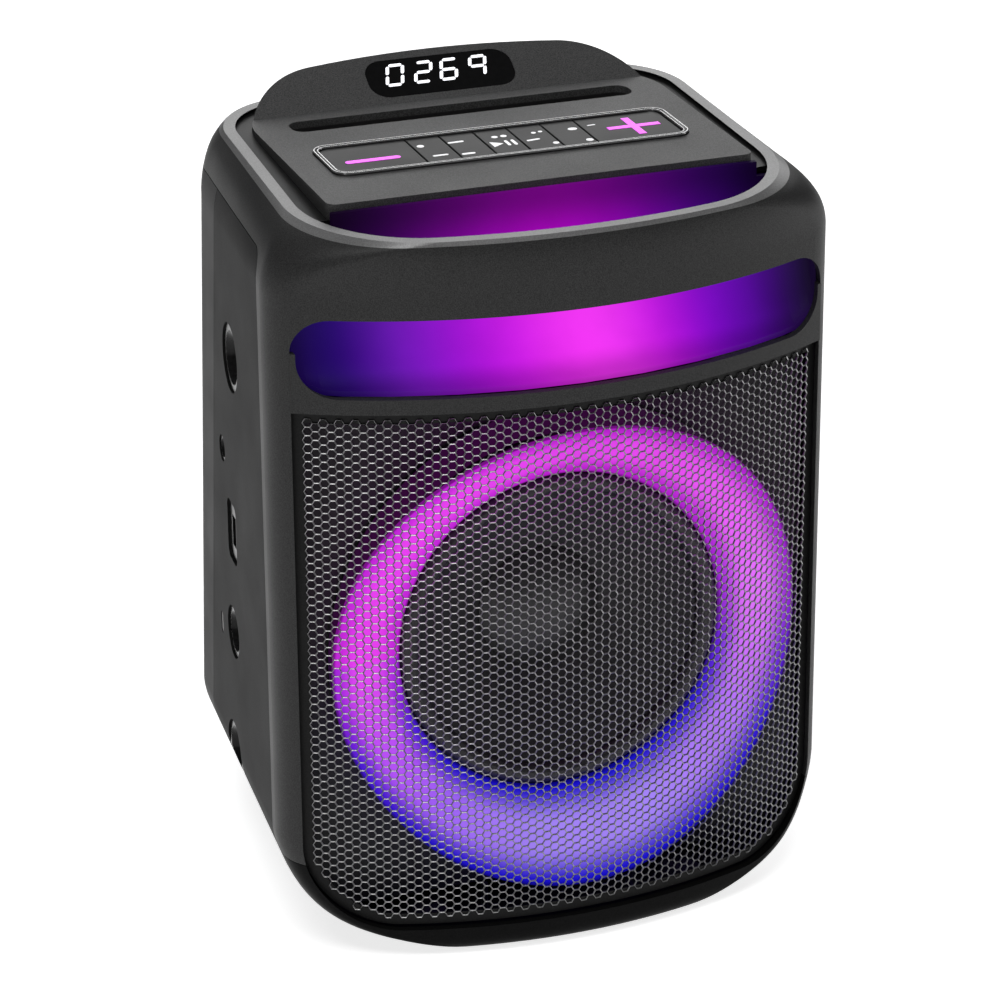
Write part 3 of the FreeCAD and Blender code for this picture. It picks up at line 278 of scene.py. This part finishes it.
M["foot_rubber"] = moulded("foot_rubber", 0.008, 0.014, 0.72, 1800, 0.4, 0.00012)
M["screw_steel"] = moulded("screw_steel", 0.05, 0.10, 0.32, 2600, 0.2, 0.00004, metallic=0.8)
M["baffle_board"] = moulded("baffle_board", 0.004, 0.007, 0.7, 900, 0.4, 0.0002)
M["cone_paper"] = moulded("cone_paper", 0.009, 0.016, 0.62, 1300, 0.5, 0.00022)
M["cap_black"] = moulded("cap_black", 0.013, 0.020, 0.38, 1200, 0.2, 0.0001)
M["surround_rubber"] = moulded("surround_rubber", 0.012, 0.018, 0.42, 1400, 0.15, 0.00008)
M["gasket_rubber"] = moulded("gasket_rubber", 0.008, 0.013, 0.8, 1400, 0.5, 0.0002)
M["basket_steel"] = moulded("basket_steel", 0.012, 0.022, 0.45, 2000, 0.25, 0.0001, metallic=0.3)
M["plate_steel"] = moulded("plate_steel", 0.28, 0.40, 0.35, 1200, 0.2, 0.00006, metallic=0.9)
M["magnet_ferrite"] = moulded("magnet_ferrite", 0.03, 0.055, 0.7, 900, 0.5, 0.0002)
M["coil_copper"] = moulded("coil_copper", (0.45, 0.16, 0.05), (0.62, 0.26, 0.10), 0.35, 2400, 0.4, 0.0001, metallic=0.9)
M["spider_cloth"] = moulded("spider_cloth", (0.20, 0.11, 0.03), (0.34, 0.20, 0.07), 0.85, 1600, 0.6, 0.0002)
M["circuit_board"] = moulded("circuit_board", (0.008, 0.07, 0.03), (0.015, 0.12, 0.05), 0.35, 500, 0.2, 0.0001)
M["led_board"] = moulded("led_board", 0.004, 0.008, 0.4, 900, 0.1, 0.00005)
M["switch_black"] = moulded("switch_black", 0.012, 0.02, 0.4, 1200, 0.1, 0.00005)
M["lens_grey"] = moulded("lens_grey", 0.20, 0.30, 0.25, 900, 0.1, 0.00005)
M["battery_wrap"] = moulded("battery_wrap", (0.01, 0.04, 0.16), (0.02, 0.07, 0.24), 0.3, 300, 0.3, 0.0002)
M["terminal_board"] = moulded("terminal_board", (0.16, 0.09, 0.03), (0.24, 0.14, 0.05), 0.6, 900, 0.3, 0.0001)
M["ring_glow"] = lit("ring_glow", ring_colour, 1.05, (0.004, 0.002, 0.006), 0.6)
M["scoop_glow"] = lit("scoop_glow", scoop_colour, 1.0, (0.002, 0.001, 0.003), 0.6)
M["key_pink"] = ink("key_pink", (0.80, 0.07, 0.82), 0.75)
M["key_white"] = ink("key_white", (0.85, 0.85, 0.86), 0.55)
M["digit_white"] = ink("digit_white", (0.95, 0.96, 1.0), 1.0)
M["mark_grey"] = ink("mark_grey", (0.55, 0.55, 0.56), 0.0)

slots = {s["node"]: s["material_slot"] for s in frame["record"]["subparts"]}
for n, o in N.items():
    o.data.materials.clear()
    o.data.materials.append(M[slots[n]])


# ------------------------------------------------------------ mesh helpers
def make(name, verts, faces, material, body, replaced=(), smooth=True, angle=None, scale=MM):
    me = bpy.data.meshes.new(name)
    me.from_pydata([tuple(c * scale for c in v) for v in verts], [], faces)
    me.validate()
    bm = bmesh.new()
    bm.from_mesh(me)
    bmesh.ops.recalc_face_normals(bm, faces=bm.faces)
    bm.to_mesh(me)
    bm.free()
    ob = bpy.data.objects.new(name, me)
    coll.objects.link(ob)
    me.materials.append(material)
    if smooth:
        me.polygons.foreach_set("use_smooth", [True] * len(me.polygons))
        if angle:
            me.set_sharp_from_angle(angle=math.radians(angle))
    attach(ob, body)
    if replaced:
        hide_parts(*replaced)
    return ob


def sheet_solid(front, rear, closed_u=False):
    """Closed solid between two point grids [i][j] of the same size."""
    nu, nv = len(front), len(front[0])
    vs = [p for row in front for p in row] + [p for row in rear for p in row]
    off = nu * nv
    fs = []

    def k(i, j):
        return (i % nu) * nv + j
    for i in range(nu if closed_u else nu - 1):
        for j in range(nv - 1):
            a, b, c, e = k(i, j), k(i + 1, j), k(i + 1, j + 1), k(i, j + 1)
            fs.append((a, b, c, e))
            fs.append((a + off, e + off, c + off, b + off))
        for j in (0, nv - 1):
            a, b = k(i, j), k(i + 1, j)
            fs.append((a, a + off, b + off, b))
    if not closed_u:
        for i in (0, nu - 1):
            for j in range(nv - 1):
                a, b = k(i, j), k(i, j + 1)
                fs.append((a, b, b + off, a + off))
    return vs, fs


def lathe(profile, n=64):
    """(radius, height) profile turned about Z; closed profile."""
    vs, fs, m = [], [], len(profile)
    for i in range(n):
        a = 2 * math.pi * i / n
        vs += [(r * math.cos(a), r * math.sin(a), z) for r, z in profile]
    for i in range(n):
        for j in range(m):
            a, b = i * m + j, i * m + (j + 1) % m
            c, e = ((i + 1) % n) * m + (j + 1) % m, ((i + 1) % n) * m + j
            fs.append((a, b, c, e))
    return vs, fs


def lerp(a, b, t):
    return [x + (y - x) * t for x, y in zip(a, b)]


YF = -112.4


def bow(x, arc=224.6, apex=-109.4):
    return apex + arc - math.sqrt(arc * arc - x * x)


def rim_z(y):
    return 307.0 + 0.04 * (y + 108.0)


# ------------------------------------------------------- perforated grille
ARC, APEX, TH = 224.6, -109.4, 0.9
GL, GT, GH, GR = 13.4, 237.7, 110.6, 36.3


def on_bow(u, z, depth):
    a = u / ARC
    r = ARC - depth
    return (r * math.sin(a), APEX + ARC - r * math.cos(a), z)


def inside(x, z, margin):
    h, lo, hi, r = GH - margin, GL + margin, GT - margin, GR - margin
    if abs(x) > h or z < lo or z > hi:
        return False
    if abs(x) > h - r and z < lo + r:
        return math.hypot(abs(x) - (h - r), z - (lo + r)) <= r
    return True


PITCH = 3.6
S = PITCH / math.sqrt(3)
RH = S - 0.27
verts, faces, shared, edge_use = [], [], {}, {}


def shared_v(u, z, crest):
    key = (round(u, 2), round(z, 2))
    if key not in shared:
        verts.append(on_bow(u, z, -0.0 if crest else 0.0))
        verts.append(on_bow(u, z, TH))
        shared[key] = len(verts) - 2
    return shared[key]


cols = int(GH * 1.06 / (1.5 * S)) + 2
for i in range(-cols, cols + 1):
    for j in range(0, 70):
        u = i * 1.5 * S
        z = GL - 2 + j * PITCH + (PITCH / 2 if i % 2 else 0.0)
        x = on_bow(u, z, 0)[0]
        if not inside(x, z, 4.2):
            continue
        outer_i, inner_f, inner_b = [], [], []
        for c in range(6):
            a = math.pi / 3 * c
            outer_i.append(shared_v(u + S * math.cos(a), z + S * math.sin(a), True))
            verts.append(on_bow(u + RH * math.cos(a), z + RH * math.sin(a), 0.22))
            verts.append(on_bow(u + RH * math.cos(a), z + RH * math.sin(a), TH - 0.15))
            inner_f.append(len(verts) - 2)
            inner_b.append(len(verts) - 1)
        for c in range(6):
            e = (c + 1) % 6
            faces.append((outer_i[c], outer_i[e], inner_f[e], inner_f[c]))
            faces.append((inner_f[c], inner_f[e], inner_b[e], inner_b[c]))
            faces.append((inner_b[c], inner_b[e], outer_i[e] + 1, outer_i[c] + 1))
            k2 = tuple(sorted((outer_i[c], outer_i[e])))
            edge_use[k2] = edge_use.get(k2, 0) + 1
for (a, b), n in edge_use.items():
    if n == 1:
        faces.append((a, b, b + 1, a + 1))
grille = make("grille_mesh", verts, faces, M["grille_steel"], "cabinet", ("grille",),
              smooth=True, angle=35)


# black frame round the perforated field
def frame_curve(margin, n=26):
    h, lo, hi, r = GH - margin, GL + margin, GT - margin, max(GR - margin, 1)
    pts = []
    zs = 30
    for k in range(zs + 1):
        pts.append((h, hi - (hi - lo - r) * k / zs))
    for k in range(1, n + 1):
        a = math.pi / 2 * k / n
        pts.append((h - r + r * math.cos(a), lo + r - r * math.sin(a)))
    xs = 40
    for k in range(1, xs):
        pts.append(((h - r) * (1 - 2 * k / xs), lo))
    for k in range(0, n + 1):
        a = math.pi / 2 * (1 - k / n)
        pts.append((-(h - r + r * math.cos(a)), lo + r - r * math.sin(a)))
    for k in range(1, zs + 1):
        pts.append((-h, lo + r + (hi - lo - r) * k / zs))
    xs = 60
    for k in range(1, xs):
        pts.append((-h + 2 * h * k / xs, hi))
    return pts


fa, fb = frame_curve(0.25), frame_curve(4.9)
front = [[(x0, bow(x0) + 0.55, z0), (x1, bow(x1) + 0.75, z1)] for (x0, z0), (x1, z1) in zip(fa, fb)]
rear = [[(x0, bow(x0) + 1.6, z0), (x1, bow(x1) + 1.6, z1)] for (x0, z0), (x1, z1) in zip(fa, fb)]
vs, fs = sheet_solid(front, rear, True)
make("grille_frame", vs, fs, M["grille_edge"], "cabinet", smooth=True, angle=40)

# --------------------------------------------------------------- light ring
na, nr = 240, 26
front, rear = [], []
for i in range(na):
    a = 2 * math.pi * i / na
    fr, re = [], []
    for j in range(nr + 1):
        t = j / nr
        p0 = (IX + RI * math.cos(a), -82.6, IZ + RI * math.sin(a))
        x1 = OX + RO * math.cos(a)
        p1 = (x1, bow(x1) + 1.7, OZ + RO * math.sin(a))
        p = lerp(p0, p1, t)
        p[1] -= 1.0 * math.sin(math.pi * t) * (1 - t)
        fr.append(tuple(p))
        re.append((p[0], p[1] + 0.9 + 1.0 * t, p[2]))
    front.append(fr)
    rear.append(re)
vs, fs = sheet_solid(front, rear, True)
ring = make("ring_lens", vs, fs, M["ring_glow"], "cabinet", ("light_ring",), smooth=True, angle=60)


# -------------------------------------------------------------------- feet
foot = [(0.01, 0.9), (10.2, 0.9), (10.6, 0.0), (13.2, 0.0), (13.8, 0.6), (14.0, 2.0), (13.9, 7.4), (0.01, 7.4)]
vs, fs = [], []
for sx, fy in ((-62, -74), (62, -74), (-62, 82), (62, 82)):
    v, f = lathe(foot)
    o = len(vs)
    vs += [(p[0] + sx, p[1] + fy, p[2]) for p in v]
    fs += [tuple(q + o for q in e) for e in f]
make("foot_pads", vs, fs, M["foot_rubber"], "cabinet", ("rubber_feet",), angle=30)


# ------------------------------------------------- corrugated cloth spider
# dished towards the magnet so the cone's neck clears it at full inward travel
rows_ = []
for k in range(57):
    r = 17.7 + (39.6 - 17.7) * k / 56
    q = min(max((r - 24.0) / 12.0, 0.0), 1.0)
    q = q * q * (3 - 2 * q)
    wave = 0.42 * math.sin((r - 20.0) * 1.35) if 20.0 < r < 36.5 else 0.0
    rows_.append((r, -43.2 * (1 - q) - 44.9 * q + wave))
prof = rows_ + [(r, y + 0.5) for r, y in reversed(rows_)]
vs, fs = lathe(prof, 96)
make("spider_cloth", [(x, h, 127 + y) for x, y, h in vs], fs, M["spider_cloth"], "cabinet", ("spider",), angle=50)

# ------------------------------------------------------- marks on the keys
def slab(poly, z0, z1, place):
    n = len(poly)
    vs = [place(x, y, z0) for x, y in poly] + [place(x, y, z1) for x, y in poly]
    fs = [tuple(range(n)), tuple(range(n, 2 * n))] + [(i, (i + 1) % n, n + (i + 1) % n, n + i) for i in range(n)]
    return vs, fs


def pill(x0, x1, y, w, lean=0.0, n=8):
    r = w / 2
    pts = []
    for k in range(n + 1):
        a = -math.pi / 2 + math.pi * k / n
        pts.append((x1 - r + r * math.cos(a), y + lean + r * math.sin(a)))
    for k in range(n + 1):
        a = math.pi / 2 + math.pi * k / n
        pts.append((x0 + r + r * math.cos(a), y + r * math.sin(a)))
    return pts


def bar(x0, y0, x1, y1, w, n=6):
    a0 = math.atan2(y1 - y0, x1 - x0)
    r = w / 2
    pts = []
    for cx, cy, st in ((x1, y1, a0 - math.pi / 2), (x0, y0, a0 + math.pi / 2)):
        for k in range(n + 1):
            a = st + math.pi * k / n
            pts.append((cx + r * math.cos(a), cy + r * math.sin(a)))
    return pts


def disc(x, y, r, n=18, sy=1.0):
    return [(x + r * math.cos(2 * math.pi * k / n), y + sy * r * math.sin(2 * math.pi * k / n)) for k in range(n)]


def marks(name, polys, z0, z1, mat_name, body, place=None):
    vs, fs = [], []
    place = place or (lambda x, y, z: (x, y, z))
    for p in polys:
        v, f = slab(p, z0, z1, place)
        o = len(vs)
        vs += v
        fs += [tuple(q + o for q in e) for e in f]
    return make(name, vs, fs, M[mat_name], body, smooth=False)


KT = 313.8


def rounded(hx, y0, y1, r, n=9):
    pts = []
    for cx, cy, st in ((hx - r, y1 - r, 0), (-hx + r, y1 - r, 90), (-hx + r, y0 + r, 180), (hx - r, y0 + r, 270)):
        for k in range(n + 1):
            a = math.radians(st + 90.0 * k / n)
            pts.append((cx + r * math.cos(a), cy + r * math.sin(a)))
    return pts


def crest(name, ins, wid, z0, z1, material):
    loops = []
    for e, z in ((ins, z0), (ins + wid * 0.3, z1), (ins + wid * 0.7, z1), (ins + wid, z0)):
        loops.append([(x, y, z) for x, y in rounded(75.5 - e, -35.6 + e, 1.8 - e, max(7.0 - e, 1.0))])
    m = len(loops[0])
    vs = [p for lp_ in loops for p in lp_]
    fs = []
    for k in range(4):
        for i in range(m):
            j = (i + 1) % m
            fs.append((k * m + i, k * m + j, ((k + 1) % 4) * m + j, ((k + 1) % 4) * m + i))
    return make(name, vs, fs, material, "cabinet", smooth=True, angle=30)


N["keypad_bezel"].data.materials.clear()
N["keypad_bezel"].data.materials.append(M["key_dark"])
crest("bezel_crest_outer", 0.25, 0.85, 314.1, 314.75, M["bezel_silver"])
crest("bezel_crest_inner", 1.75, 0.75, 314.1, 314.65, M["bezel_silver"])
marks("mark_minus", [pill(-67, -44, -20.3, 3.3)], KT - 0.1, KT + 0.12, "key_pink", "key_minus_body")
plus = []
w, L1, L2 = 1.6, 11.2, 10.6
cx0, cy0 = 56.6, -16.8
outline_plus = [(-w, -L2), (w, -L2), (w, -w), (L1, -w), (L1, w), (w, w), (w, L2), (-w, L2), (-w, w), (-L1, w), (-L1, -w), (-w, -w)]
marks("mark_plus", [[(cx0 + a, cy0 + b) for a, b in outline_plus]], KT - 0.1, KT + 0.12, "key_pink", "key_plus_body")
marks("mark_power", [disc(-32.6, -11.2, 1.5), bar(-31.2, -24.5, -26.2, -24.5, 1.5)], KT - 0.1, KT + 0.1, "key_white", "key_power_body")
marks("mark_light", [bar(-20.4, -11.3, -15.0, -11.0, 1.5), bar(-19.6, -26.4, -15.6, -26.4, 1.7)], KT - 0.1, KT + 0.1, "key_white", "key_light_body")
marks("mark_play", [[(-5.2, -16.2), (-5.2, -22.6), (-0.4, -19.4)], bar(1.4, -16.8, 1.4, -22.0, 1.3), bar(4.2, -16.8, 4.2, -22.0, 1.3),
                    disc(-1.0, -10.6, 1.3), disc(2.8, -10.6, 1.3)], KT - 0.1, KT + 0.1, "key_white", "key_play_body")
marks("mark_mode", [bar(10.2, -19.6, 14.6, -19.0, 1.4), disc(15.5, -11.0, 1.0), disc(18.6, -10.4, 0.9), disc(19.6, -26.0, 1.3)],
      KT - 0.1, KT + 0.1, "key_white", "key_mode_body")
marks("mark_link", [disc(32.0, -11.8, 2.0, sy=0.75), disc(33.6, -27.2, 1.5)], KT - 0.1, KT + 0.1, "key_white", "key_link_body")
marks("mark_tick", [bar(39.4, -10.0, 42.2, -9.8, 0.8)], KT - 0.1, KT + 0.1, "key_white", "key_plus_body")

# ------------------------------------------------------------ display digits
SL = math.atan(0.6)
cs, sn = math.cos(SL), math.sin(SL)


def on_wedge(x, s, h):
    """x across, s up the slope from the crease, h above the slope."""
    return (x, 45.4 + s * cs - h * sn, 313.5 + s * sn + h * cs)


SEG = {"0": "abcdef", "2": "abged", "6": "afgedc", "9": "abfgc"}
digits = []
DH, DW, SK = 10.6, 6.6, 3.0
s0 = (54.4 - 45.4) / cs
for ch, xl in (("0", -24.2), ("2", -11.8), ("6", -0.6), ("9", 12.0)):
    hw = 0.75
    P = {"a": ((0, 1), (1, 1)), "b": ((1, 1), (1, .5)), "c": ((1, .5), (1, 0)), "d": ((0, 0), (1, 0)),
         "e": ((0, 0), (0, .5)), "f": ((0, .5), (0, 1)), "g": ((0, .5), (1, .5))}
    for sname in SEG[ch]:
        (ax0, ay0), (bx0, by0) = P[sname]
        x0, y0 = ax0 * DW, ay0 * DH
        x1, y1 = bx0 * DW, by0 * DH
        dx, dy = x1 - x0, y1 - y0
        L = math.hypot(dx, dy)
        x0, y0, x1, y1 = x0 + dx / L * 1.15, y0 + dy / L * 1.15, x1 - dx / L * 1.15, y1 - dy / L * 1.15
        pts = bar(x0, y0, x1, y1, 1.45, 4)
        digits.append([(xl + a + SK * b / DH, s0 + b) for a, b in pts])
marks("display_digits", digits, -0.22, -0.08, "digit_white", "cabinet", on_wedge)

# ------------------------------------------------------------ funnel skirt
# (kept as the CAD node, only its finish is changed)

# ------------------------------------------------------------------- stage
me = bpy.data.meshes.new("floor")
bm = bmesh.new()
bmesh.ops.create_grid(bm, x_segments=4, y_segments=4, size=6.0)
bm.to_mesh(me)
bm.free()
floor = bpy.data.objects.new("floor", me)
coll.objects.link(floor)
fm, fnt, fp = new_mat("floor_pale")
fp.inputs["Base Color"].default_value = (0.86, 0.86, 0.86, 1)
fp.inputs["Roughness"].default_value = 0.6
fp.inputs["Specular IOR Level"].default_value = 0.2
fp.inputs["Emission Color"].default_value = (1, 1, 1, 1)
fp.inputs["Emission Strength"].default_value = 0.78
me.materials.append(fm)

w = bpy.data.worlds.new("studio")
scene.world = w
w.use_nodes = True
nt = w.node_tree
bg = nt.nodes["Background"]
lp = nt.nodes.new("ShaderNodeLightPath")
mx = nt.nodes.new("ShaderNodeMix")
mx.data_type = "RGBA"
mx.inputs[6].default_value = (0.07, 0.07, 0.073, 1)
mx.inputs[7].default_value = (1.0, 1.0, 1.0, 1)
nt.links.new(lp.outputs["Is Camera Ray"], mx.inputs[0])
nt.links.new(mx.outputs[2], bg.inputs["Color"])
bg.inputs["Strength"].default_value = 1.0


def area(name, at, to, size, power, colour=(1, 1, 1)):
    li = bpy.data.lights.new(name, "AREA")
    li.shape = "RECTANGLE"
    li.size, li.size_y = size
    li.energy = power
    li.color = colour
    ob = bpy.data.objects.new(name, li)
    coll.objects.link(ob)
    at, to = Vector(at), Vector(to)
    ob.location = at
    ob.rotation_euler = (to - at).to_track_quat("-Z", "Y").to_euler()
    return ob


area("key_top", (-0.35, -0.45, 1.7), (0, 0, 0.2), (1.3, 1.0), 15)
area("rear_strip", (0.55, 1.5, 0.95), (0, 0, 0.25), (1.6, 0.7), 8)
area("left_strip", (-1.3, -1.35, 0.7), (0, 0, 0.2), (0.30, 1.2), 0.9)
area("front_fill", (0.6, -1.9, 0.5), (0, 0, 0.15), (1.0, 0.8), 1.0)
area("right_edge", (1.4, -0.3, 0.55), (0, 0, 0.2), (0.3, 1.2), 1.4)
